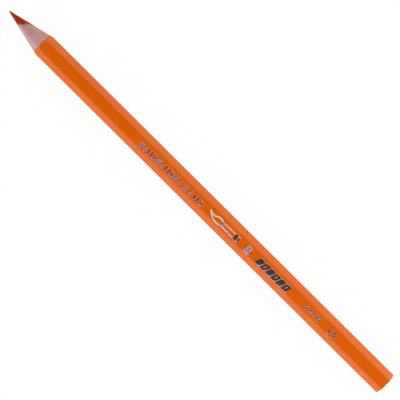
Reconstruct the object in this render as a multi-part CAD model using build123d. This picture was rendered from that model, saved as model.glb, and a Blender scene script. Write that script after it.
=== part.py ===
from build123d import *
import math
import os

# Hexagonal wood-cased colouring pencil, in millimetres.
# It lies on one facet with the stamped facet up. X runs along it and the writing tip points to -X.
# The origin is under its middle, on the plane that it lies on.

# Casing
LENGTH = 175.0
ACROSS_FLATS = 7.2
EDGE_RADIUS = 0.76  # rounding of the six long edges, outside the lacquer
WOOD_ACROSS_FLATS = 7.1
WOOD_EDGE_RADIUS = 3.16  # the bare wood is nearly round, and the coats fill the edges
UNDERCOAT = 0.02
DIP_LENGTH = 0.35  # lacquer over the cut rear end
DIP_ROUNDING = 0.28

# Core and glue
CORE_DIAMETER = 3.4
CORE_OFFSET_Y = 0.40  # the core lies off the casing's axis, in the glue plane
CORE_GLUE = 0.02  # around the core
GLUE = 0.04  # between the slats

# Sharpened end
CONE_HALF_ANGLE = 13.35
TIP_RADIUS = 0.205

# Hot-foil marks on the upper facet
FOIL = 0.02
STROKE = 0.29  # width of a thin foil line
BRUSH_STROKE = 0.35
BOLD_STROKE = 0.42
MARK_HEIGHT = 2.2
MARK_WIDTH = 1.6
MARK_CENTRE_Y = -0.40
MARK_GAP = 0.06  # clear lacquer between foil patches that nearly meet

LONG_ROW_START, LONG_ROW_END, LONG_ROW_MARKS = -26.7, -7.45, 10
SHORT_ROW_START, SHORT_ROW_END, SHORT_ROW_MARKS = -6.5, 2.45, 4
BRUSH_START, BRUSH_FERRULE, BRUSH_END = 5.2, 11.4, 19.0
BRUSH_CENTRE_Y = -0.30
BRUSH_POINT_LIFT = 0.9
BRUSH_WAIST = (3.35, 0.83)  # from the point along X, from the centre line along Y
BRUSH_BELLY = (4.3, -1.3)
BRUSH_SAGS = (0.36, 0.38, 0.12, 0.52)  # bulge of each arc of the head: neck, crown, heel and keel
BRUSH_NEEDLE = (2.6, 1.5)  # how far the open middle stays from the point, in line widths
FERRULE_HALF, HANDLE_HALF = 0.80, 1.15
HANDLE_ROUNDING = 0.45
BAND_START, BAND_LENGTH = 17.1, 1.05
ROSETTE_X, ROSETTE_RADIUS, ROSETTE_PETALS = 23.5, 1.5, 8
ROSETTE_LIFT = 0.1
PETAL_ORBIT, PETAL_LENGTH, PETAL_WIDTH = 0.78, 0.68, 0.36
BAR_SLANT = 0.38  # lean along X for each unit of height
BARS_START, BARS_END, BARS_COUNT = 27.6, 42.8, 6
ZIGZAG_START, ZIGZAG_END, ZIGZAG_PERIODS = 49.8, 57.0, 5
ZIGZAG_CENTRE_Y = -0.2
LOZENGES_START, LOZENGES_END = 60.9, 64.2

# Sizes that follow from the ones above
AXIS_Z = ACROSS_FLATS / 2
TIP_X = -LENGTH / 2
REAR_X = LENGTH / 2
DIP_X = REAR_X - DIP_LENGTH
SINE = math.sin(math.radians(CONE_HALF_ANGLE))
COSINE = math.cos(math.radians(CONE_HALF_ANGLE))
TIP_CENTRE_X = TIP_X + TIP_RADIUS
APEX_X = TIP_CENTRE_X - TIP_RADIUS / SINE
GROOVE_RADIUS = CORE_DIAMETER / 2 + CORE_GLUE


def section_plane(x):
    """The cross-section at x: its own x is the row's Y, its own y is the row's Z."""
    return Plane(origin=(x, 0, AXIS_Z), x_dir=(0, 1, 0), z_dir=(1, 0, 0))


def hexagon(across_flats, edge_radius):
    outline = RegularPolygon(across_flats / 2, 6, major_radius=False)
    return fillet(outline.vertices(), edge_radius)


def bar(section, start_x, end_x):
    return extrude(section_plane(start_x) * section, end_x - start_x)


def rod(radius, start_x, end_x):
    return bar(Pos(CORE_OFFSET_Y, 0) * Circle(radius), start_x, end_x)


def sharpened_envelope():
    """The space that the sharpener leaves: a blunt cone that opens past the casing."""
    outer = ACROSS_FLATS
    shoulder_x = APEX_X + outer * COSINE / SINE
    middle = math.radians(135 + CONE_HALF_ANGLE / 2)
    nose = ThreePointArc(
        (TIP_X, 0),
        (TIP_CENTRE_X + TIP_RADIUS * math.cos(middle), TIP_RADIUS * math.sin(middle)),
        (TIP_CENTRE_X - TIP_RADIUS * SINE, TIP_RADIUS * COSINE),
    )
    sides = Polyline(nose @ 1, (shoulder_x, outer), (REAR_X, outer), (REAR_X, 0), (TIP_X, 0))
    profile = make_face(nose + sides)
    return Pos(0, 0, AXIS_Z) * revolve(profile, Axis.X)


def wood_section():
    return hexagon(WOOD_ACROSS_FLATS, WOOD_EDGE_RADIUS)


def undercoat_section():
    return hexagon(WOOD_ACROSS_FLATS + 2 * UNDERCOAT, WOOD_EDGE_RADIUS + UNDERCOAT)


def lacquer_section():
    return hexagon(ACROSS_FLATS, EDGE_RADIUS)


def pigment_core(envelope):
    return rod(CORE_DIAMETER / 2, TIP_X, DIP_X) & envelope


def core_glue_sleeve(envelope):
    sleeve = rod(GROOVE_RADIUS, TIP_X, DIP_X) - rod(CORE_DIAMETER / 2, TIP_X, DIP_X)
    return sleeve & envelope


def slat(envelope, side):
    """One grooved half of the casing: side is +1 for the upper and -1 for the lower."""
    half = Pos(0, side * (GLUE / 2 + ACROSS_FLATS / 2)) * Rectangle(2 * ACROSS_FLATS, ACROSS_FLATS)
    blank = bar(wood_section() & half, TIP_X, DIP_X) & envelope
    return blank - rod(GROOVE_RADIUS, TIP_X, DIP_X)


def glue_film(envelope, side):
    """The glue between the slats on one side of the core: side is +1 for +Y and -1 for -Y."""
    strip = Pos(CORE_OFFSET_Y + side * ACROSS_FLATS / 2, 0) * Rectangle(ACROSS_FLATS, GLUE)
    film = bar(wood_section() & strip, TIP_X, DIP_X) & envelope
    return film - rod(GROOVE_RADIUS, TIP_X, DIP_X)


def undercoat(envelope):
    return bar(undercoat_section() - wood_section(), TIP_X, DIP_X) & envelope


def lacquer_coat(envelope):
    return bar(lacquer_section() - undercoat_section(), TIP_X, DIP_X) & envelope


def rear_end_dip():
    block = bar(lacquer_section(), DIP_X, REAR_X)
    rim = block.faces().sort_by(Axis.X)[-1].edges()
    return fillet(rim, DIP_ROUNDING)


def foil(sketch):
    return extrude(Pos(0, 0, ACROSS_FLATS) * sketch, FOIL)


def foil_group(sketches):
    return Compound([solid for sketch in sketches for solid in foil(sketch).solids()])


def line(points, width=STROKE):
    """A foil line of one width along straight runs."""
    return trace(Polyline(*points), width)


def lozenge(x, width, height, stroke, centre_y=MARK_CENTRE_Y):
    """An upright hollow lozenge, x to x + width."""
    middle = x + width / 2
    outer = make_face(
        Polyline(
            (x, centre_y),
            (middle, centre_y + height / 2),
            (x + width, centre_y),
            (middle, centre_y - height / 2),
            close=True,
        )
    )
    return outer - offset(outer, -stroke, kind=Kind.INTERSECTION)


def dotted_lozenge(x):
    dot = Pos(x + MARK_WIDTH / 2, MARK_CENTRE_Y) * Circle(STROKE / 2)
    return [lozenge(x, MARK_WIDTH, MARK_HEIGHT, STROKE), dot]


def twin_uprights(x):
    """Two uprights with a dot high and a dot low between them."""
    top = MARK_CENTRE_Y + MARK_HEIGHT / 2
    bottom = MARK_CENTRE_Y - MARK_HEIGHT / 2
    uprights = [
        line([(x + inset, bottom), (x + inset, top)], BOLD_STROKE)
        for inset in (BOLD_STROKE / 2, MARK_WIDTH - BOLD_STROKE / 2)
    ]
    dots = [
        Pos(x + MARK_WIDTH / 2, MARK_CENTRE_Y + lift) * Circle(STROKE / 2)
        for lift in (MARK_HEIGHT / 4, -MARK_HEIGHT / 4)
    ]
    return uprights + dots


def double_chevron(x):
    reach = MARK_WIDTH / 2 - BOLD_STROKE
    height = MARK_HEIGHT / 2 - BOLD_STROKE / 2
    return [
        line(
            [
                (start, MARK_CENTRE_Y + height),
                (start + reach, MARK_CENTRE_Y),
                (start, MARK_CENTRE_Y - height),
            ],
            BOLD_STROKE,
        )
        for start in (x + BOLD_STROKE / 2, x + BOLD_STROKE / 2 + MARK_WIDTH / 2)
    ]


def stacked_bars(x):
    """Three level bars, one above another."""
    lift = MARK_HEIGHT / 2 - BOLD_STROKE / 2
    return [
        line([(x, MARK_CENTRE_Y + level), (x + MARK_WIDTH, MARK_CENTRE_Y + level)], BOLD_STROKE)
        for level in (-lift, 0, lift)
    ]


def mark_row(start, end, count):
    """A run of evenly spaced fine marks that takes four plain signs in turn."""
    signs = [stacked_bars, dotted_lozenge, twin_uprights, double_chevron]
    pitch = (end - start - MARK_WIDTH) / (count - 1)
    patches = []
    for index in range(count):
        patches += signs[index % len(signs)](start + index * pitch)
    return foil_group(patches)


def brush_head(inset):
    """The brush's bristles, a leaf with a slightly bent point, drawn in by the inset."""
    neck, crown, heel, keel = BRUSH_SAGS
    back, drop = BRUSH_NEEDLE
    point = (BRUSH_START + back * inset, BRUSH_CENTRE_Y + BRUSH_POINT_LIFT - drop * inset)
    waist = (BRUSH_START + BRUSH_WAIST[0], BRUSH_CENTRE_Y + BRUSH_WAIST[1] - inset)
    belly = (BRUSH_START + BRUSH_BELLY[0], BRUSH_CENTRE_Y + BRUSH_BELLY[1] + inset)
    shoulder_top = (BRUSH_FERRULE - inset, BRUSH_CENTRE_Y + FERRULE_HALF - inset)
    shoulder_bottom = (BRUSH_FERRULE - inset, BRUSH_CENTRE_Y - FERRULE_HALF + inset)
    outline = [
        SagittaArc(point, waist, -neck),
        SagittaArc(waist, shoulder_top, crown),
        Line(shoulder_top, shoulder_bottom),
        SagittaArc(shoulder_bottom, belly, heel),
        SagittaArc(belly, point, keel - inset / 3),
    ]
    return make_face(Curve() + outline)


def brush_handle():
    """The handle, which widens to its rounded end and shares the ferrule's line with the head."""
    start = BRUSH_FERRULE - BRUSH_STROKE
    handle = make_face(
        Polyline(
            (start, BRUSH_CENTRE_Y + FERRULE_HALF),
            (BRUSH_END, BRUSH_CENTRE_Y + HANDLE_HALF),
            (BRUSH_END, BRUSH_CENTRE_Y - HANDLE_HALF),
            (start, BRUSH_CENTRE_Y - FERRULE_HALF),
            close=True,
        )
    )
    return fillet(handle.vertices().sort_by(Axis.X)[-2:], HANDLE_ROUNDING)


def band_window(margin):
    """A slice across the handle where its band lies, wider by the margin at each end."""
    middle = Pos(BAND_START + BAND_LENGTH / 2, BRUSH_CENTRE_Y)
    return middle * Rectangle(BAND_LENGTH + 2 * margin, 2 * MARK_HEIGHT)


def foil_brush_outline():
    """The brush in outline, open where the band crosses its handle."""
    head = brush_head(0) - brush_head(BRUSH_STROKE)
    handle = brush_handle() - offset(brush_handle(), -BRUSH_STROKE, kind=Kind.INTERSECTION)
    outline = foil(head) + foil(handle - band_window(MARK_GAP))
    return Compound(outline.solids())


def foil_brush_band():
    return foil(brush_handle() & band_window(0))


def foil_rosette():
    """A ring of petals round a dot, inside a thin ring."""
    centre = Pos(ROSETTE_X, MARK_CENTRE_Y + ROSETTE_LIFT)
    ring = centre * (Circle(ROSETTE_RADIUS) - Circle(ROSETTE_RADIUS - STROKE))
    hub = centre * Circle(STROKE)
    petal = Pos(PETAL_ORBIT, 0) * Ellipse(PETAL_LENGTH / 2, PETAL_WIDTH / 2)
    petals = [
        centre * Rot(0, 0, index * 360 / ROSETTE_PETALS) * petal for index in range(ROSETTE_PETALS)
    ]
    return foil_group([ring, hub] + petals)


def foil_slant_bars():
    """Bold leaning bars, every second one with a slit in it."""
    height = MARK_HEIGHT + BOLD_STROKE
    lean = BAR_SLANT * height
    pitch = (BARS_END - BARS_START - lean + BOLD_STROKE) / BARS_COUNT
    width = pitch - BOLD_STROKE
    bottom = MARK_CENTRE_Y - height / 2
    patches = []
    for index in range(BARS_COUNT):
        x = BARS_START + index * pitch
        leaning_bar = make_face(
            Polyline(
                (x, bottom),
                (x + width, bottom),
                (x + width + lean, bottom + height),
                (x + lean, bottom + height),
                close=True,
            )
        )
        if index % 2:
            slit_x = x + width / 2
            slit = line(
                [
                    (slit_x + lean * 0.3, bottom + height * 0.3),
                    (slit_x + lean * 0.7, bottom + height * 0.7),
                ]
            )
            leaning_bar = leaning_bar - slit
        patches.append(leaning_bar)
    return foil_group(patches)


def foil_zigzag():
    """A fine zigzag line between two upright lozenges."""
    end_width = MARK_WIDTH * 0.85
    start = ZIGZAG_START + end_width + MARK_GAP
    period = (ZIGZAG_END - ZIGZAG_START - 2 * (end_width + MARK_GAP)) / ZIGZAG_PERIODS
    swing = MARK_HEIGHT * 0.22
    points = [
        (start + index * period / 2, ZIGZAG_CENTRE_Y + swing * (-1) ** index)
        for index in range(2 * ZIGZAG_PERIODS + 1)
    ]
    patches = [
        lozenge(ZIGZAG_START, end_width, MARK_HEIGHT, STROKE, ZIGZAG_CENTRE_Y),
        line(points),
        lozenge(ZIGZAG_END - end_width, end_width, MARK_HEIGHT, STROKE, ZIGZAG_CENTRE_Y),
    ]
    return foil_group(patches)


def foil_lozenges():
    width = (LOZENGES_END - LOZENGES_START - BOLD_STROKE) / 2
    patches = [
        lozenge(x, width, MARK_HEIGHT, BOLD_STROKE) for x in (LOZENGES_START, LOZENGES_END - width)
    ]
    return foil_group(patches)


def build_parts():
    envelope = sharpened_envelope()
    return {
        "pigment_core": pigment_core(envelope),
        "core_glue_sleeve": core_glue_sleeve(envelope),
        "upper_slat": slat(envelope, 1),
        "lower_slat": slat(envelope, -1),
        "glue_film_left": glue_film(envelope, 1),
        "glue_film_right": glue_film(envelope, -1),
        "undercoat": undercoat(envelope),
        "lacquer_coat": lacquer_coat(envelope),
        "rear_end_dip": rear_end_dip(),
        "foil_marks_long": mark_row(LONG_ROW_START, LONG_ROW_END, LONG_ROW_MARKS),
        "foil_marks_short": mark_row(SHORT_ROW_START, SHORT_ROW_END, SHORT_ROW_MARKS),
        "foil_brush_outline": foil_brush_outline(),
        "foil_brush_band": foil_brush_band(),
        "foil_rosette": foil_rosette(),
        "foil_slant_bars": foil_slant_bars(),
        "foil_zigzag": foil_zigzag(),
        "foil_lozenges": foil_lozenges(),
    }


os.makedirs("parts", exist_ok=True)
for name, part in build_parts().items():
    export_step(part, f"parts/{name}.step")
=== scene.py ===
import math

import bmesh
import bpy
from mathutils import Matrix, Vector, noise


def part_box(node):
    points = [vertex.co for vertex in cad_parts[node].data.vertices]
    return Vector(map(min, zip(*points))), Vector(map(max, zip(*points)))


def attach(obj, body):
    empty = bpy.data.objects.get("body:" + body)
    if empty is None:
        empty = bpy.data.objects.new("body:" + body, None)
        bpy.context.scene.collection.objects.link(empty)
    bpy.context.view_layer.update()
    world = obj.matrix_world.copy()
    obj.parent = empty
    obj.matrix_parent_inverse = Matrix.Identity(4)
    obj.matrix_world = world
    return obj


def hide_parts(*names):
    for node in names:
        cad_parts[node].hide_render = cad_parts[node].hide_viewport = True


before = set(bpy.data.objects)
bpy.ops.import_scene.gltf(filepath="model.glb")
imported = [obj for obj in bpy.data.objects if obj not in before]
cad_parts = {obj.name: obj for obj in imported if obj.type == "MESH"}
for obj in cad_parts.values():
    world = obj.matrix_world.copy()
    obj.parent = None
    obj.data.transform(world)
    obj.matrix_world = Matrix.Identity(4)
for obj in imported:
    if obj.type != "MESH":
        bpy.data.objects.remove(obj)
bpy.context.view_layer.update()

# A hexagonal wood-cased colouring pencil that lies on a pale floor, stamped facet up.
# Lengths are millimetres until a mesh is made, and MM turns them into the frame's metres.
# X runs along the pencil with its writing tip at -X. Angles about its axis start at +Y.

MM = 0.001
COS_30 = math.cos(math.radians(30))


def box_mm(node):
    low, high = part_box(node)
    return [c / MM for c in low], [c / MM for c in high]


# ---------------------------------------------------------------- sizes read from the frame

CORE_LOW, CORE_HIGH = box_mm("pigment_core")
SLEEVE_LOW, SLEEVE_HIGH = box_mm("core_glue_sleeve")
WOOD_HIGH = box_mm("upper_slat")[1]
UNDERCOAT_HIGH = box_mm("undercoat")[1]
LACQUER_HIGH = box_mm("lacquer_coat")[1]
REAR_X = box_mm("rear_end_dip")[1][0]
DIP_X = LACQUER_HIGH[0]
TIP_X = CORE_LOW[0]
AXIS_Z = LACQUER_HIGH[2] / 2
CORE_Y = (CORE_LOW[1] + CORE_HIGH[1]) / 2
CORE_RADIUS = (CORE_HIGH[1] - CORE_LOW[1]) / 2
SLEEVE_RADIUS = (SLEEVE_HIGH[1] - SLEEVE_LOW[1]) / 2
GLUE_HALF = box_mm("glue_film_left")[1][2] - AXIS_Z

# ---------------------------------------------------------------- sizes of the sharpened end

CONE_HALF_ANGLE = math.radians(13.35)
CONE_SLOPE = math.tan(CONE_HALF_ANGLE)
TIP_RADIUS = 0.205
TIP_CENTRE_X = TIP_X + TIP_RADIUS
APEX_X = TIP_CENTRE_X - TIP_RADIUS / math.sin(CONE_HALF_ANGLE)
NOSE_END_X = TIP_CENTRE_X - TIP_RADIUS * math.sin(CONE_HALF_ANGLE)

# Places where the core's or the paint's edge strays from a clean cut: how far along X, then at what angle
# and how wide in degrees.
CORE_TONGUES = ((-0.62, 57, 13), (-0.42, 110, 10), (-0.35, 232, 14))
CORE_RUNS = ((0.38, 8, 18), (0.42, 178, 14))
PAINT_CHIPS = ((0.10, 48, 4), (0.14, 201, 5), (0.12, 305, 4))
PAINT_RECESS = 0.42
PAINT_WALL = 0.02  # least length of the lacquer's cut face along X
# A painted highlight on the wood: a paler streak at this angle round the cone and this width, in degrees.
PAINTED_HIGHLIGHT_ANGLE, PAINTED_HIGHLIGHT_WIDTH = 134, 12

# The sharpener's marks: noise cells per millimetre along the cone and across it, and shares of the depth.
FURROW_ALONG, FURROW_ACROSS, FURROW_SHARE = 0.35, 5.0, 0.35
RING_ALONG, RING_ACROSS, RING_SHARE = 4.0, 0.7, 0.25
MEAN_SHARE = 0.5
MARKS_FULL_RADIUS = 1.2
CORE_MARKS, WOOD_MARKS, THIN_MARKS, LACQUER_MARKS = 0.016, 0.014, 0.012, 0.008

# How far under the cone the covered part of a layer stays, so that the tongue over it hides it.
CORE_TUCK = 0.04
GLUE_OUTER_TUCK, GLUE_INNER_TUCK = 0.022, 0.038
WOOD_TUCK = 0.02

# ---------------------------------------------------------------- sizes of the rear end and the foil

DIP_ROUNDING = 0.28
DIP_CROWN = 0.04

FOIL_RIMS = {"foil_brush_outline": 0.068, "foil_rosette": 0.034}  # width of each slope round a patch
FOIL_FINE_RIM = 0.030
FOIL_SLOPES = (0.50, 0.32)  # how steeply each slope rises, from the outline inwards
FACING = -0.2  # a side bounds the same stroke when its normal's cosine to the vertex's is below this
RIM_ROOM = 0.45  # the most of a stroke's width that the rim on one side takes
FOIL_SEAT = 0.001
SAME_HEIGHT = 0.001
SAME_PLACE = 0.001
SAME_RIM_PLACE = 0.0001
CREASE = math.radians(40)

# ---------------------------------------------------------------- how finely the meshes are divided

SECTOR_ARC_STEPS = 16
SECTOR_FLAT_STEPS = 16
NOSE_STEPS = 7
CORE_RINGS, WOOD_RINGS, LACQUER_RINGS, THIN_RINGS = 70, 90, 16, 2
DIP_STEPS = 8
SIDE_STEPS = (0.0, 0.0015, 0.004, 0.01, 0.03, 0.08, 0.2, 0.4, 0.6, 0.8, 1.0)  # shares of the barrel's length


# ---------------------------------------------------------------- outlines about the axis


class Hexagon:
    """A hexagon with rounded corners at 0, 60, 120... degrees, as a radius about the axis."""

    def __init__(self, apothem, corner):
        self.apothem = apothem
        self.rounding = (apothem / COS_30 - corner) / (1 / COS_30 - 1)

    def shrunk(self, inset):
        smaller = Hexagon(self.apothem, self.apothem)
        smaller.apothem = self.apothem - inset
        smaller.rounding = self.rounding - inset
        return smaller

    def arc_angle(self, normal_angle):
        """The angle about the axis of the arc's point whose normal is at this angle from the corner."""
        centre = (self.apothem - self.rounding) / COS_30
        reach = centre + self.rounding * math.cos(normal_angle)
        return math.atan2(self.rounding * math.sin(normal_angle), reach)

    def radius(self, angle):
        sixth = math.radians(60)
        off_corner = abs((angle + sixth / 2) % sixth - sixth / 2)
        if off_corner >= self.arc_angle(math.radians(30)):
            return self.apothem / math.cos(math.radians(30) - off_corner)
        centre = (self.apothem - self.rounding) / COS_30
        across = centre * math.sin(off_corner)
        return centre * math.cos(off_corner) + math.sqrt(self.rounding**2 - across**2)


class Offset:
    """A circle whose centre lies off the axis, towards +Y."""

    def __init__(self, radius):
        self.size = radius

    def radius(self, angle):
        across = CORE_Y * math.sin(angle)
        return CORE_Y * math.cos(angle) + math.sqrt(self.size**2 - across**2)


OUTER = Hexagon(AXIS_Z, LACQUER_HIGH[1])
UNDER = Hexagon(UNDERCOAT_HIGH[2] - AXIS_Z, UNDERCOAT_HIGH[1])
WOOD = Hexagon(WOOD_HIGH[2] - AXIS_Z, WOOD_HIGH[1])
CORE = Offset(CORE_RADIUS)
SLEEVE = Offset(SLEEVE_RADIUS)


def sample_angles():
    """Angles for a full turn, close together on the lacquer's rounded edges."""
    angles = []
    tangent = OUTER.arc_angle(math.radians(30))
    for sector in range(6):
        corner = sector * math.radians(60)
        for step in range(SECTOR_ARC_STEPS):
            normal_angle = math.radians(-30 + 60 * step / SECTOR_ARC_STEPS)
            angles.append(corner + OUTER.arc_angle(normal_angle))
        flat = math.radians(60) - 2 * tangent
        for step in range(SECTOR_FLAT_STEPS):
            angles.append(corner + tangent + flat * step / SECTOR_FLAT_STEPS)
    shift = SECTOR_ARC_STEPS // 2  # the first angle is then the +Y corner
    return angles[shift:] + [a + math.radians(360) for a in angles[:shift]]


ANGLES = sample_angles()
HALF_TURN = len(ANGLES) // 2


# ---------------------------------------------------------------- the sharpened surface


def wander(angle, pace, seed):
    """Smooth noise round the pencil, about -1 to 1."""
    return noise.noise(Vector((pace * math.cos(angle), pace * math.sin(angle), seed)))


def swell(angle, centre, width):
    """A single bump round the pencil, 1 at its centre, in degrees."""
    gap = math.radians((math.degrees(angle) - centre + 180) % 360 - 180)
    return math.exp(-((gap / math.radians(width)) ** 2))


def strays(angle, places):
    return sum(reach * swell(angle, centre, width) for reach, centre, width in places)


def core_edge_shift(angle):
    """How far along X the core's edge strays: tongues of wood over it, runs of core over the wood, nicks."""
    nicks = 0.10 * wander(angle, 3, 1.5) + 0.07 * wander(angle, 11, 4.5)
    return strays(angle, CORE_TONGUES + CORE_RUNS) + nicks


def paint_edge_shift(angle):
    """The same for the paint's edge: slight waves and a few small chips."""
    waves = 0.05 * wander(angle, 4, 8.5) + 0.035 * wander(angle, 16, 2.5)
    return PAINT_RECESS + strays(angle, PAINT_CHIPS) + waves


def no_shift(angle):
    return 0.0


def edge_share(angle):
    """1 on the middle of a long edge, falling to 0 where its rounding ends."""
    sixth = math.radians(60)
    off_corner = abs((angle + sixth / 2) % sixth - sixth / 2)
    return max(0.0, 1.0 - off_corner / OUTER.arc_angle(math.radians(30)))


def lacquer_edge_shift(angle):
    """The lacquer's outer edge, which is never ahead of its inner one."""
    inner = cone_x(UNDER, paint_edge_shift, angle)
    return max(0.0, inner + PAINT_WALL - cone_x(OUTER, no_shift, angle))


def cone_radius(x):
    if x <= NOSE_END_X:
        return math.sqrt(max(0.0, TIP_RADIUS**2 - (x - TIP_CENTRE_X) ** 2))
    return (x - APEX_X) * CONE_SLOPE


def cone_x(outline, shift, angle):
    """Where along X an outline's surface comes out of the cone."""
    return APEX_X + outline.radius(angle) / CONE_SLOPE + shift(angle)


def tool_marks(x, angle, depth):
    """How far the sharpened surface lies under a true cone: fine furrows along the grain, and faint rings."""
    y, z = math.cos(angle), math.sin(angle)
    radius = cone_radius(x)
    across = radius * FURROW_ACROSS
    furrow = noise.noise(Vector((x * FURROW_ALONG, across * y, across * z + 9.0)))
    ring = noise.noise(Vector((x * RING_ALONG, y * RING_ACROSS, z * RING_ACROSS + 30.0)))
    fade = min(1.0, radius / MARKS_FULL_RADIUS)
    return depth * fade * (MEAN_SHARE + FURROW_SHARE * furrow + RING_SHARE * ring)


# ---------------------------------------------------------------- meshes


def add_piece(name, verts, faces, nodes):
    mesh = bpy.data.meshes.new(name)
    mesh.from_pydata([(x * MM, y * MM, z * MM) for x, y, z in verts], [], faces)
    mesh.update()
    mesh.shade_smooth()
    piece = bpy.data.objects.new(name, mesh)
    bpy.context.scene.collection.objects.link(piece)
    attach(piece, "root")
    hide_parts(*nodes)
    return piece


def mark_sharp(mesh, pairs):
    wanted = {tuple(sorted(pair)) for pair in pairs}
    for edge in mesh.edges:
        if tuple(sorted(edge.vertices)) in wanted:
            edge.use_edge_sharp = True


def set_values(mesh, name, values):
    attribute = mesh.attributes.new(name, "FLOAT", "POINT")
    attribute.data.foreach_set("value", values)


def polar(x, radius, angle):
    return (x, radius * math.cos(angle), AXIS_Z + radius * math.sin(angle))


def spread(start, end, count):
    return [start + (end - start) * i / count for i in range(count + 1)]


class Layer:
    """One layer of the pencil, from an inner to an outer outline, with its front cut by the cone.

    The cut face has so many rings and the sharpener's marks at this depth. The tucks say how far
    under the cone the layer's outer and inner surfaces stay.
    """

    def __init__(self, outer, outer_shift, inner, inner_shift, rings, depth, tucks=(0, 0)):
        self.outer, self.outer_shift = outer, outer_shift
        self.inner, self.inner_shift = inner, inner_shift
        self.rings, self.depth = rings, depth
        self.outer_tuck, self.inner_tuck = tucks

    def front(self, angle):
        """Points of the cut face, from the inner outline, or the nose's end, to the outer one."""
        end = cone_x(self.outer, self.outer_shift, angle)
        start = NOSE_END_X if self.inner is None else cone_x(self.inner, self.inner_shift, angle)
        points = []
        limit = self.outer.radius(angle)
        for x in spread(start, end, self.rings):
            points.append((x, min(limit, cone_radius(x) - tool_marks(x, angle, self.depth))))
        if self.inner is not None:
            x, radius = points[0]
            points[0] = (x, min(radius, self.inner.radius(angle)))
        return points

    def side(self, angle):
        """Points of the outer surface, from behind the cut face to the rear."""
        start = cone_x(self.outer, self.outer_shift, angle)
        limit = self.outer.radius(angle)
        places = [start + (DIP_X - start) * step for step in SIDE_STEPS[1:]]
        return [(x, min(limit, cone_radius(x) - self.outer_tuck)) for x in places]

    def bore(self, angle):
        """Points of the inner surface, from the rear back to behind the cut face."""
        start = cone_x(self.inner, self.inner_shift, angle)
        limit = self.inner.radius(angle)
        places = [start + (DIP_X - start) * step for step in reversed(SIDE_STEPS[1:])]
        return [(x, min(limit, cone_radius(x) - self.inner_tuck)) for x in places]

    def loop(self, angle):
        return self.front(angle) + self.side(angle) + self.bore(angle)


def grid_faces(columns, rows, wrap_columns, wrap_rows):
    """Quads between neighbouring columns of points, where a column is one angle, facing outwards."""
    faces = []
    for j in range(columns if wrap_columns else columns - 1):
        after = (j + 1) % columns
        for k in range(rows if wrap_rows else rows - 1):
            above = (k + 1) % rows
            faces.append((j * rows + k, after * rows + k, after * rows + above, j * rows + above))
    return faces


def make_core():
    """The core: a nose, the cut cone, the rod behind it and its rear end."""
    layer = Layer(CORE, core_edge_shift, None, no_shift, CORE_RINGS, CORE_MARKS, (CORE_TUCK, 0))
    nose = [i / NOSE_STEPS for i in range(1, NOSE_STEPS)]
    sweep = math.radians(90) - CONE_HALF_ANGLE
    verts, values = [], []
    rows = 0
    for angle in ANGLES:
        column = []
        for share in nose:
            turn = sweep * share
            column.append((TIP_CENTRE_X - TIP_RADIUS * math.cos(turn), TIP_RADIUS * math.sin(turn)))
        column += layer.front(angle) + layer.side(angle)
        edge = cone_x(CORE, core_edge_shift, angle)
        rows = len(column)
        verts += [polar(x, radius, angle) for x, radius in column]
        values += [edge - x for x, _ in column]
    count = len(ANGLES)
    faces = grid_faces(count, rows, True, False)
    tip, rear = len(verts), len(verts) + 1
    verts += [(TIP_X, 0, AXIS_Z), (DIP_X, CORE_Y, AXIS_Z)]
    values += [0.0, 0.0]
    for j in range(count):
        after = (j + 1) % count
        faces.append((tip, after * rows, j * rows))
        faces.append((rear, j * rows + rows - 1, after * rows + rows - 1))
    piece = add_piece("sharpened_core", verts, faces, ["pigment_core"])
    crease = len(nose) + layer.rings
    mark_sharp(piece.data, ring_edges(count, rows, crease))
    mark_sharp(piece.data, ring_edges(count, rows, rows - 1))
    set_values(piece.data, "from_edge", values)
    return piece


def ring_edges(columns, rows, row, wrap=True):
    last = columns if wrap else columns - 1
    return [(j * rows + row, ((j + 1) % columns) * rows + row) for j in range(last)]


def make_ring_layer(name, layer, node):
    """A layer that goes all round the pencil."""
    loops = [layer.loop(angle) for angle in ANGLES]
    rows = len(loops[0])
    verts = [polar(x, r, angle) for angle, loop in zip(ANGLES, loops) for x, r in loop]
    piece = add_piece(name, verts, grid_faces(len(loops), rows, True, True), [node])
    sides = layer.rings + len(SIDE_STEPS)
    for row in (0, layer.rings, sides - 1, sides):
        mark_sharp(piece.data, ring_edges(len(loops), rows, row))
    cut = [1.0 if k <= layer.rings else 0.0 for _ in loops for k in range(rows)]
    set_values(piece.data, "cut", cut)
    set_values(piece.data, "edge", [edge_share(angle) for angle in ANGLES for _ in range(rows)])
    return piece


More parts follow.
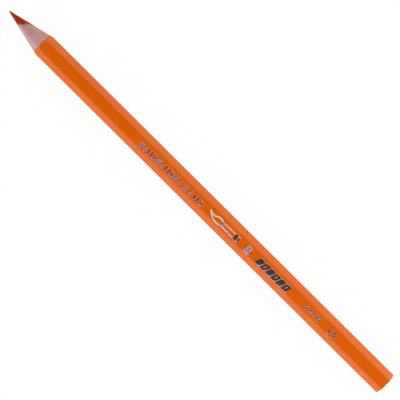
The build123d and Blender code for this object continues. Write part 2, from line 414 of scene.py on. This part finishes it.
def make_slat(name, layer, node, upper):
    """Half of the wood: one slat, from the glue plane at +Y over to the one at -Y."""
    picked = range(HALF_TURN + 1) if upper else range(HALF_TURN, len(ANGLES) + 1)
    angles = [ANGLES[i % len(ANGLES)] for i in picked]
    loops = [layer.loop(angle) for angle in angles]
    rows = len(loops[0])
    verts, from_core, from_paint, pale = [], [], [], []
    for angle, loop in zip(angles, loops):
        core_end = cone_x(SLEEVE, core_edge_shift, angle)
        paint_start = cone_x(WOOD, paint_edge_shift, angle)
        for x, radius in loop:
            point = polar(x, radius, angle)
            gap = max(GLUE_HALF, abs(point[2] - AXIS_Z))
            verts.append((x, point[1], AXIS_Z + (gap if upper else -gap)))
            from_core.append(x - core_end)
            from_paint.append(paint_start - x)
            # pale holds a painted highlight: 1 along a paler streak at one angle round the cone, on its upper
            # -Y side.
            pale.append(swell(angle, PAINTED_HIGHLIGHT_ANGLE, PAINTED_HIGHLIGHT_WIDTH))
    faces = grid_faces(len(loops), rows, False, True)
    faces.append(tuple(range(rows)))
    faces.append(tuple(reversed(range((len(loops) - 1) * rows, len(loops) * rows))))
    piece = add_piece(name, verts, faces, [node])
    sides = layer.rings + len(SIDE_STEPS)
    for row in (0, layer.rings, sides - 1, sides):
        mark_sharp(piece.data, ring_edges(len(loops), rows, row, wrap=False))
    for column in (0, len(loops) - 1):
        around = [(column * rows + k, column * rows + (k + 1) % rows) for k in range(rows)]
        mark_sharp(piece.data, around)
    set_values(piece.data, "from_core", from_core)
    set_values(piece.data, "from_paint", from_paint)
    set_values(piece.data, "pale", pale)
    return piece


def make_rear_dip():
    """The lacquer over the rear end: a thin slab with a rounded rim and a slight crown."""
    count = len(ANGLES)
    rounds = [math.radians(90) * i / DIP_STEPS for i in range(DIP_STEPS + 1)]
    shares = [1 - i / DIP_STEPS for i in range(1, DIP_STEPS)]
    rim = OUTER.shrunk(DIP_ROUNDING)
    verts = []
    for angle in ANGLES:
        verts.append(polar(DIP_X, OUTER.radius(angle), angle))
        for turn in rounds:
            outline = OUTER.shrunk(DIP_ROUNDING * (1 - math.cos(turn)))
            x = REAR_X - DIP_CROWN - DIP_ROUNDING * (1 - math.sin(turn))
            verts.append(polar(x, outline.radius(angle), angle))
        for share in shares:
            x = REAR_X - DIP_CROWN * share**2
            verts.append(polar(x, rim.radius(angle) * share, angle))
    rows = 1 + len(rounds) + len(shares)
    faces = grid_faces(count, rows, True, False)
    centre, back = len(verts), len(verts) + 1
    verts += [(REAR_X, 0, AXIS_Z), (DIP_X, 0, AXIS_Z)]
    for j in range(count):
        after = (j + 1) % count
        faces.append((centre, j * rows + rows - 1, after * rows + rows - 1))
        faces.append((back, after * rows, j * rows))
    piece = add_piece("rear_dip_skin", verts, faces, ["rear_end_dip"])
    mark_sharp(piece.data, ring_edges(count, rows, 0))
    set_values(piece.data, "cut", [0.0] * len(verts))
    edges = [edge_share(angle) if k <= len(rounds) else 0.0 for angle in ANGLES for k in range(rows)]
    set_values(piece.data, "edge", edges + [0.0, 0.0])
    return piece


def spot(vert):
    """A vertex's place, to tell which new vertex came from it."""
    return round(vert.co.x, 9), round(vert.co.y, 9)


def outline_sides(faces):
    """A flat patch's boundary edges, each as its two corners and its inward normal."""
    sides = []
    for face in faces:
        for loop in face.loops:
            if loop.edge.is_boundary:
                start, end = loop.vert, loop.link_loop_next.vert
                along = (end.co.xy - start.co.xy).normalized()
                sides.append((start, end, Vector((-along.y, along.x))))
    return sides


def distance_to_side(point, start, end):
    along = end - start
    share = max(0.0, min(1.0, (point - start).dot(along) / along.length_squared))
    return (start + along * share - point).length


def ways_inwards(faces, reach):
    """How each outline vertex moves for a rim one unit wide: X and Y inwards, and the share of its rise.

    Where the stroke is too narrow for the whole reach, as in a sharp point, all three shrink.
    """
    sides = outline_sides(faces)
    normals = {}
    for start, end, inward in sides:
        normals.setdefault(start, []).append(inward)
        normals.setdefault(end, []).append(inward)
    ways = {}
    for vert, (first, second) in normals.items():
        both = first + second
        miter = both / (1 + first.dot(second)) * min(1.0, both.length)
        room = [
            distance_to_side(vert.co.xy, start.co.xy, end.co.xy)
            for start, end, inward in sides
            if vert not in (start, end) and inward.dot(both) < FACING * both.length
        ]
        share = min(1.0, RIM_ROOM * min(room, default=reach / RIM_ROOM) / reach)
        ways[spot(vert)] = Vector((miter.x * share, miter.y * share, share))
    return ways


def make_foil(node):
    """A foil patch with the CAD node's outline, whose edges slope up to a flat middle."""
    bm = bmesh.new()
    bm.from_mesh(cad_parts[node].data)
    top = max(v.co.z for v in bm.verts)
    sunk = [f for f in bm.faces if min(v.co.z for v in f.verts) < top - SAME_HEIGHT * MM]
    bmesh.ops.delete(bm, geom=sunk, context="FACES")
    bmesh.ops.remove_doubles(bm, verts=bm.verts, dist=SAME_PLACE * MM)
    for vert in bm.verts:
        vert.co.z = (2 * AXIS_Z + FOIL_SEAT) * MM
    bmesh.ops.recalc_face_normals(bm, faces=bm.faces)
    for face in bm.faces:
        if face.normal.z < 0:
            face.normal_flip()
    region = list(bm.faces)
    copied = bmesh.ops.duplicate(bm, geom=region)["geom"]
    under = [item for item in copied if isinstance(item, bmesh.types.BMFace)]
    bmesh.ops.reverse_faces(bm, faces=under)
    rim = FOIL_RIMS.get(node, FOIL_FINE_RIM) * MM
    ways = ways_inwards(region, rim * len(FOIL_SLOPES))
    for slope in FOIL_SLOPES:
        bmesh.ops.inset_region(bm, faces=region, thickness=0.0, use_boundary=True)
        moved = {}
        for vert in {vert for face in region for vert in face.verts}:
            way = ways.get(spot(vert), Vector((0, 0, 1)))
            vert.co += Vector((way.x, way.y, way.z * slope)) * rim
            moved[spot(vert)] = way
        ways = moved
    bmesh.ops.remove_doubles(bm, verts=bm.verts, dist=SAME_RIM_PLACE * MM)
    mesh = bpy.data.meshes.new(node + "_leaf")
    bm.to_mesh(mesh)
    bm.free()
    mesh.shade_smooth()
    mesh.set_sharp_from_angle(angle=CREASE)
    piece = bpy.data.objects.new(node + "_leaf", mesh)
    bpy.context.scene.collection.objects.link(piece)
    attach(piece, "root")
    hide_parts(node)
    return piece


# ---------------------------------------------------------------- materials


class Shader:
    """A node material, with a short call for each kind of node."""

    def __init__(self, name):
        self.material = bpy.data.materials.new(name)
        self.material.use_nodes = True
        self.tree = self.material.node_tree
        self.tree.nodes.clear()
        self.output = self.add("ShaderNodeOutputMaterial")
        self.bsdf = self.add("ShaderNodeBsdfPrincipled")
        self.tree.links.new(self.bsdf.outputs[0], self.output.inputs[0])
        self.place = self.add("ShaderNodeTexCoord").outputs["Object"]

    def add(self, kind, inputs=None, **settings):
        node = self.tree.nodes.new(kind)
        for key, value in settings.items():
            setattr(node, key, value)
        for key, value in (inputs or {}).items():
            self.plug(node.inputs[key], value)
        return node

    def plug(self, socket, value):
        if isinstance(value, bpy.types.NodeSocket):
            self.tree.links.new(value, socket)
        else:
            socket.default_value = value

    def set(self, **inputs):
        for key, value in inputs.items():
            self.plug(self.bsdf.inputs[key.replace("_", " ")], value)

    def cells(self, per_mm, shift):
        """Texture coordinates with their own number of cells per millimetre along X, Y and Z."""
        scale = tuple(c / MM for c in per_mm)
        location = (shift, shift, shift)
        moved = self.add("ShaderNodeMapping", {"Vector": self.place, "Scale": scale, "Location": location})
        return moved.outputs[0]

    def grain(self, per_mm, detail=3.0, roughness=0.55, distortion=0.0, shift=0.0):
        """Noise, about 0 to 1."""
        found = self.add(
            "ShaderNodeTexNoise",
            {
                "Vector": self.cells(per_mm, shift),
                "Scale": 1.0,
                "Detail": detail,
                "Roughness": roughness,
                "Distortion": distortion,
            },
        )
        return found.outputs["Fac"]

    def spots(self, per_mm, shift):
        """Distance to the nearest of scattered points."""
        found = self.add("ShaderNodeTexVoronoi", {"Vector": self.cells(per_mm, shift), "Scale": 1.0})
        return found.outputs["Distance"]

    def stretch(self, value, low, high, to_low=0.0, to_high=1.0):
        """Takes low..high to to_low..to_high, smoothly and clamped."""
        node = self.add(
            "ShaderNodeMapRange",
            {"Value": value, "From Min": low, "From Max": high, "To Min": to_low, "To Max": to_high},
            interpolation_type="SMOOTHSTEP",
        )
        return node.outputs["Result"]

    def mix(self, share, first, second):
        node = self.add("ShaderNodeMix", data_type="RGBA", blend_type="MIX")
        self.plug(node.inputs[0], share)
        self.plug(node.inputs[6], colour(first))
        self.plug(node.inputs[7], colour(second))
        return node.outputs[2]

    def calc(self, operation, first, second):
        node = self.add("ShaderNodeMath", operation=operation)
        self.plug(node.inputs[0], first)
        self.plug(node.inputs[1], second)
        return node.outputs[0]

    def tinted(self, base, tint, mask, most):
        """A colour with another over it, whose share is this much where the mask is 1."""
        return self.mix(self.calc("MULTIPLY", mask, most), base, tint)

    def raised(self, value, mask, most):
        """A number that is this much higher where the mask is 1."""
        return self.calc("ADD", value, self.calc("MULTIPLY", mask, most))

    def attribute(self, name):
        return self.add("ShaderNodeAttribute", attribute_name=name).outputs["Fac"]

    def bump(self, height, depth_mm, under=None):
        """A normal raised by height (0 to 1) times a depth in millimetres."""
        node = self.add("ShaderNodeBump", {"Height": height, "Distance": depth_mm * MM, "Strength": 1.0})
        if under is not None:
            self.tree.links.new(under, node.inputs["Normal"])
        return node.outputs[0]


def colour(value):
    """A linear colour with alpha, from three numbers or a socket."""
    if isinstance(value, bpy.types.NodeSocket):
        return value
    return (*value, 1.0)


def lacquer_material():
    """Glossy orange lacquer: soft thickness changes, the wood's grain showing through, and wiped streaks."""
    thick, thin, wiped = (0.795, 0.1147, 0.0003), (0.825, 0.1257, 0.0005), (0.765, 0.1025, 0.0004)
    flecked, rubbed = (0.55, 0.07, 0.001), (0.86, 0.22, 0.03)
    cut_clean, cut_torn = (0.795, 0.126, 0.002), (0.75, 0.136, 0.006)
    s = Shader("orange_lacquer_gloss")
    cloud = s.stretch(s.grain((0.06, 0.25, 0.25), detail=2), 0.3, 0.7)
    streak = s.stretch(s.grain((0.05, 3.5, 3.5), detail=3, shift=7.0), 0.35, 0.7)
    fleck = s.stretch(s.spots((0.5, 0.9, 0.9), shift=3.0), 0.06, 0.03)
    rubs = s.stretch(s.grain((0.5, 3.0, 3.0), detail=4, shift=17.0), 0.5, 0.62)
    worn = s.calc("MULTIPLY", s.attribute("edge"), rubs)
    cut = s.attribute("cut")
    torn = s.stretch(s.grain((2.5, 2.5, 2.5), detail=4, shift=21.0), 0.3, 0.75)
    base = s.mix(cloud, thick, thin)
    base = s.tinted(base, wiped, streak, 0.2)
    base = s.tinted(base, flecked, fleck, 0.35)
    base = s.tinted(base, rubbed, worn, 0.30)
    base = s.mix(cut, base, s.mix(torn, cut_clean, cut_torn))
    peel = s.grain((0.35, 0.8, 0.8), detail=1.5, shift=11.0)
    lines = s.grain((0.04, 5.0, 5.0), detail=2, shift=5.0)
    scratch = s.stretch(s.grain((0.12, 14.0, 14.0), detail=1, shift=31.0), 0.70, 0.78)
    rough = s.stretch(streak, 0.0, 1.0, 0.12, 0.16)
    rough = s.raised(rough, scratch, 0.15)
    rough = s.raised(rough, worn, 0.18)
    rough = s.raised(rough, cut, 0.22)
    relief = s.bump(peel, 0.0016)
    relief = s.bump(lines, 0.0004, relief)
    relief = s.bump(fleck, 0.004, relief)
    relief = s.bump(scratch, -0.001, relief)
    s.set(Base_Color=base, Roughness=rough, Normal=relief, IOR=1.46, Specular_IOR_Level=0.40)
    return s.material


def wood_material():
    """Pinkish close-grained wood, cut by the sharpener: fibres, pores, growth bands and pigment dust, with a
    painted highlight, a paler streak along one side of the cone.
    """
    dark_band, pale_band = (0.570, 0.250, 0.254), (0.690, 0.340, 0.358)
    dark_fibre, pale_fibre, painted_highlight = (0.495, 0.190, 0.181), (0.745, 0.403, 0.422), (0.795, 0.475, 0.490)
    pore_brown, dusty, bruised = (0.285, 0.135, 0.105), (0.455, 0.090, 0.033), (0.545, 0.265, 0.128)
    s = Shader("casing_wood_sharpened")
    bands = s.stretch(s.grain((0.05, 0.55, 0.9), detail=2, distortion=0.6), 0.35, 0.65)
    fibre = s.stretch(s.grain((0.35, 7.0, 7.0), detail=4, roughness=0.65, shift=2.0), 0.3, 0.72)
    fine = s.stretch(s.grain((0.9, 16.0, 16.0), detail=3, shift=4.0), 0.3, 0.7)
    pore = s.stretch(s.spots((0.7, 6.5, 6.5), shift=9.0), 0.18, 0.08)
    near_core = s.stretch(s.attribute("from_core"), 0.0, 1.5, 0.55, 0.0)
    specks = s.grain((1.0, 6.0, 6.0), detail=4, roughness=0.7, shift=15.0)
    dust = s.stretch(s.calc("ADD", near_core, specks), 0.62, 0.95)
    near_paint = s.stretch(s.attribute("from_paint"), 0.0, 0.22, 0.35, 0.0)
    base = s.mix(bands, dark_band, pale_band)
    base = s.tinted(base, dark_fibre, fibre, 0.50)
    base = s.tinted(base, pale_fibre, fine, 0.40)
    # Painted highlight: a paler streak along the cone's upper -Y side, where the lights fall.
    base = s.tinted(base, painted_highlight, s.attribute("pale"), 0.40)
    base = s.tinted(base, pore_brown, pore, 0.55)
    base = s.tinted(base, dusty, dust, 0.6)
    base = s.mix(near_paint, base, bruised)
    rings = s.grain((5.0, 0.4, 0.4), detail=2, shift=6.0)
    relief = s.bump(fibre, 0.010)
    relief = s.bump(rings, 0.004, relief)
    relief = s.bump(fine, 0.003, relief)
    rough = s.stretch(fibre, 0.0, 1.0, 0.58, 0.72)
    s.set(Base_Color=base, Roughness=rough, Normal=relief, Specular_IOR_Level=0.28)
    return s.material


def pigment_material():
    """Waxy orange-red pigment core: pressed grains, shaving scratches, a slight burnish, and pits with
    painted shade in them.
    """
    dark_lump, pale_lump = (0.376, 0.018, 0.002), (0.462, 0.027, 0.003)
    dark_grain, scratched, painted_pit_shade = (0.300, 0.018, 0.003), (0.560, 0.065, 0.010), (0.240, 0.015, 0.005)
    s = Shader("pigment_waxy")
    lumps = s.stretch(s.grain((1.2, 3.0, 3.0), detail=4, roughness=0.65), 0.3, 0.7)
    speck = s.stretch(s.grain((9.0, 14.0, 14.0), detail=2, shift=3.0), 0.45, 0.75)
    scratch = s.stretch(s.grain((0.5, 9.0, 9.0), detail=3, shift=12.0), 0.4, 0.75)
    pit = s.stretch(s.spots((3.0, 6.0, 6.0), shift=5.0), 0.20, 0.08)
    base = s.mix(lumps, dark_lump, pale_lump)
    base = s.tinted(base, dark_grain, speck, 0.4)
    base = s.tinted(base, scratched, scratch, 0.3)
    # Painted shade: the pits' hollows are coloured darker.
    base = s.tinted(base, painted_pit_shade, pit, 0.25)
    rings = s.grain((6.0, 0.5, 0.5), detail=2, shift=6.0)
    relief = s.bump(scratch, 0.008)
    relief = s.bump(rings, 0.006, relief)
    relief = s.bump(pit, -0.008, relief)
    rough = s.stretch(lumps, 0.0, 1.0, 0.45, 0.6)
    s.set(Base_Color=base, Roughness=rough, Normal=relief, Specular_IOR_Level=0.12)
    return s.material


def glue_material():
    """Cured glue: cloudy, and half glossy."""
    dark, pale = (0.43, 0.20, 0.15), (0.52, 0.27, 0.21)
    s = Shader("glue_cured")
    cloud = s.stretch(s.grain((0.8, 3.0, 3.0), detail=3), 0.3, 0.7)
    rough = s.stretch(cloud, 0.0, 1.0, 0.4, 0.55)
    s.set(Base_Color=s.mix(cloud, dark, pale), Roughness=rough, Normal=s.bump(cloud, 0.003))
    return s.material


def undercoat_material():
    """Matt undercoat, slightly uneven."""
    dark, pale = (0.72, 0.22, 0.06), (0.76, 0.27, 0.09)
    s = Shader("undercoat_matte")
    cloud = s.stretch(s.grain((1.5, 3.0, 3.0), detail=3), 0.3, 0.7)
    rough = s.stretch(cloud, 0.0, 1.0, 0.55, 0.7)
    s.set(Base_Color=s.mix(cloud, dark, pale), Roughness=rough, Normal=s.bump(cloud, 0.002))
    return s.material


def foil_material():
    """Hot-stamped silver foil: bright metal with fine creases and pinholes where it did not take."""
    dull, bright, paint_below = (0.67, 0.81, 0.92), (0.79, 0.91, 0.96), (0.70, 0.20, 0.05)
    s = Shader("silver_foil_stamped")
    crease = s.grain((3.0, 3.0, 3.0), detail=4, roughness=0.6)
    hole = s.stretch(s.spots((4.5, 5.5, 5.5), shift=2.0), 0.14, 0.08)
    patch = s.stretch(s.grain((0.8, 1.4, 1.4), detail=2, shift=8.0), 0.45, 0.6)
    missing = s.calc("MULTIPLY", hole, patch)
    base = s.mix(s.stretch(crease, 0.3, 0.7), dull, bright)
    base = s.tinted(base, paint_below, missing, 0.8)
    rough = s.raised(s.stretch(crease, 0.3, 0.7, 0.13, 0.24), missing, 0.3)
    metal = s.stretch(missing, 0.0, 1.0, 1.0, 0.2)
    s.set(Base_Color=base, Roughness=rough, Metallic=metal, Normal=s.bump(crease, 0.0025))
    return s.material


# ---------------------------------------------------------------- stage, light and camera, in metres

FLOOR_SIZE = 6.0
FLOOR_GAP = 0.00002
FLOOR_COLOUR = (0.87, 0.91, 0.78, 1.0)
FLOOR_GLOW = 0.985  # the share of plain white that the camera sees in place of the floor's own colour

ROOM_COLOUR, ROOM_STRENGTH = (0.80, 0.80, 1.10, 1.0), 0.035
ROOM_SEEN = (0.99, 0.99, 0.99, 1.0)

SIDE_LIGHT_HEIGHT, SIDE_LIGHT_SIZE = 0.16, (0.40, 0.26)
NEAR_TINT, FAR_TINT = (1.0, 1.32, 0.95), (1.0, 1.32, 0.90)
SIDE_LIGHTS = (  # X, Y, radiance and tint
    (-0.45, -0.45, 2.81, NEAR_TINT),
    (0.45, -0.45, 2.90, NEAR_TINT),
    (-0.45, 0.45, 2.10, FAR_TINT),
    (0.45, 0.45, 4.07, FAR_TINT),
)

CAMERA_DISTANCE = 1.5
CAMERA_LEAN = 4.2  # degrees towards the writing tip
CAMERA_ROLL = 2.2  # degrees towards +Y
AXIS_ON_SCREEN = 44.77  # degrees below level, tip at the upper left
LENS, SENSOR = 409.8, 36.0  # the camera's own millimetres
FAR_CLIP = 20.0
AIM_X = 0.00085
AIM_Y = 0.00004


def make_floor():
    """A pale floor. It shines a little to the camera, as an overexposed white sweep does."""
    bpy.ops.mesh.primitive_plane_add(size=FLOOR_SIZE, location=(0, 0, -FLOOR_GAP))
    floor = bpy.context.object
    floor.name = "floor"
    s = Shader("floor_white")
    s.set(Base_Color=FLOOR_COLOUR, Roughness=0.9, Specular_IOR_Level=0.1)
    glow = s.add("ShaderNodeEmission", {"Color": (1, 1, 1, 1), "Strength": 1.0})
    sight = s.add("ShaderNodeLightPath").outputs["Is Camera Ray"]
    blend = s.add("ShaderNodeMixShader")
    s.plug(blend.inputs[0], s.calc("MULTIPLY", sight, FLOOR_GLOW))
    s.plug(blend.inputs[1], s.bsdf.outputs[0])
    s.plug(blend.inputs[2], glow.outputs[0])
    s.plug(s.output.inputs[0], blend.outputs[0])
    floor.data.materials.append(s.material)


def make_world():
    """A dim room overhead, which the camera sees as white."""
    world = bpy.data.worlds.new("studio")
    bpy.context.scene.world = world
    world.use_nodes = True
    tree = world.node_tree
    tree.nodes.clear()
    out = tree.nodes.new("ShaderNodeOutputWorld")
    mix = tree.nodes.new("ShaderNodeMixShader")
    dim = tree.nodes.new("ShaderNodeBackground")
    dim.inputs["Color"].default_value = ROOM_COLOUR
    dim.inputs["Strength"].default_value = ROOM_STRENGTH
    white = tree.nodes.new("ShaderNodeBackground")
    white.inputs["Color"].default_value = ROOM_SEEN
    sight = tree.nodes.new("ShaderNodeLightPath")
    tree.links.new(sight.outputs["Is Camera Ray"], mix.inputs[0])
    tree.links.new(dim.outputs[0], mix.inputs[1])
    tree.links.new(white.outputs[0], mix.inputs[2])
    tree.links.new(mix.outputs[0], out.inputs[0])


def softbox(name, centre, size, radiance, tint):
    """A rectangular soft light of a given radiance, turned to face the pencil's middle."""
    light = bpy.data.lights.new(name, "AREA")
    light.shape = "RECTANGLE"
    light.size, light.size_y = size
    light.energy = radiance * math.pi * size[0] * size[1]
    light.color = tint
    lamp = bpy.data.objects.new(name, light)
    bpy.context.scene.collection.objects.link(lamp)
    away = Vector(centre).normalized()
    side = Vector((1, 0, 0))
    up = away.cross(side).normalized()
    side = up.cross(away)
    lamp.matrix_world = Matrix.Translation(centre) @ Matrix((side, up, away)).transposed().to_4x4()
    return lamp


def make_camera():
    lean, roll = math.radians(CAMERA_LEAN), math.radians(CAMERA_ROLL)
    away = Vector((-math.sin(lean), math.sin(roll) * math.cos(lean), math.cos(roll) * math.cos(lean)))
    turn = math.radians(AXIS_ON_SCREEN)
    along = (Vector((1, 0, 0)) - away * away.x).normalized()
    across = away.cross(along)
    right = along * math.cos(turn) + across * math.sin(turn)
    up = away.cross(right)
    camera = bpy.data.objects.new("camera", bpy.data.cameras.new("camera"))
    camera.data.lens = LENS
    camera.data.sensor_width = SENSOR
    camera.data.clip_end = FAR_CLIP
    aim = Vector((AIM_X, AIM_Y, AXIS_Z * MM))
    place = aim + away * CAMERA_DISTANCE
    camera.matrix_world = Matrix.Translation(place) @ Matrix((right, up, away)).transposed().to_4x4()
    bpy.context.scene.collection.objects.link(camera)
    bpy.context.scene.camera = camera


# ---------------------------------------------------------------- the scene

make_camera()

bpy.context.scene.view_settings.view_transform = "Standard"

lacquer = lacquer_material()
wood = wood_material()
pigment = pigment_material()
glue = glue_material()
foil = foil_material()

wood_layer = Layer(
    WOOD, paint_edge_shift, SLEEVE, core_edge_shift, WOOD_RINGS, WOOD_MARKS, (0, WOOD_TUCK)
)
glue_tucks = (GLUE_OUTER_TUCK, GLUE_INNER_TUCK)
glue_layer = Layer(SLEEVE, core_edge_shift, CORE, core_edge_shift, THIN_RINGS, THIN_MARKS, glue_tucks)
undercoat_layer = Layer(UNDER, paint_edge_shift, WOOD, paint_edge_shift, THIN_RINGS, THIN_MARKS)
lacquer_layer = Layer(OUTER, lacquer_edge_shift, UNDER, paint_edge_shift, LACQUER_RINGS, LACQUER_MARKS)

pieces = (
    (make_core(), pigment),
    (make_slat("upper_casing_wood", wood_layer, "upper_slat", True), wood),
    (make_slat("lower_casing_wood", wood_layer, "lower_slat", False), wood),
    (make_ring_layer("core_glue_skin", glue_layer, "core_glue_sleeve"), glue),
    (make_ring_layer("undercoat_skin", undercoat_layer, "undercoat"), undercoat_material()),
    (make_ring_layer("lacquer_skin", lacquer_layer, "lacquer_coat"), lacquer),
    (make_rear_dip(), lacquer),
)
for piece, material in pieces:
    piece.data.materials.append(material)

for node in sorted(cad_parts):
    if node.startswith("foil_"):
        make_foil(node).data.materials.append(foil)
    elif node.startswith("glue_film"):
        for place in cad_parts[node].material_slots:
            place.material = glue

make_floor()
make_world()
softbox("softbox_near", (0.10, -0.50, 0.40), (1.5, 0.64), 1.47, (1.0, 1.02, 1.15))
softbox("softbox_far", (0.22, 0.50, 0.40), (1.3, 0.64), 1.47, (1.0, 1.02, 0.92))
for x, y, radiance, tint in SIDE_LIGHTS:
    softbox("side_light", (x, y, SIDE_LIGHT_HEIGHT), SIDE_LIGHT_SIZE, radiance, tint)
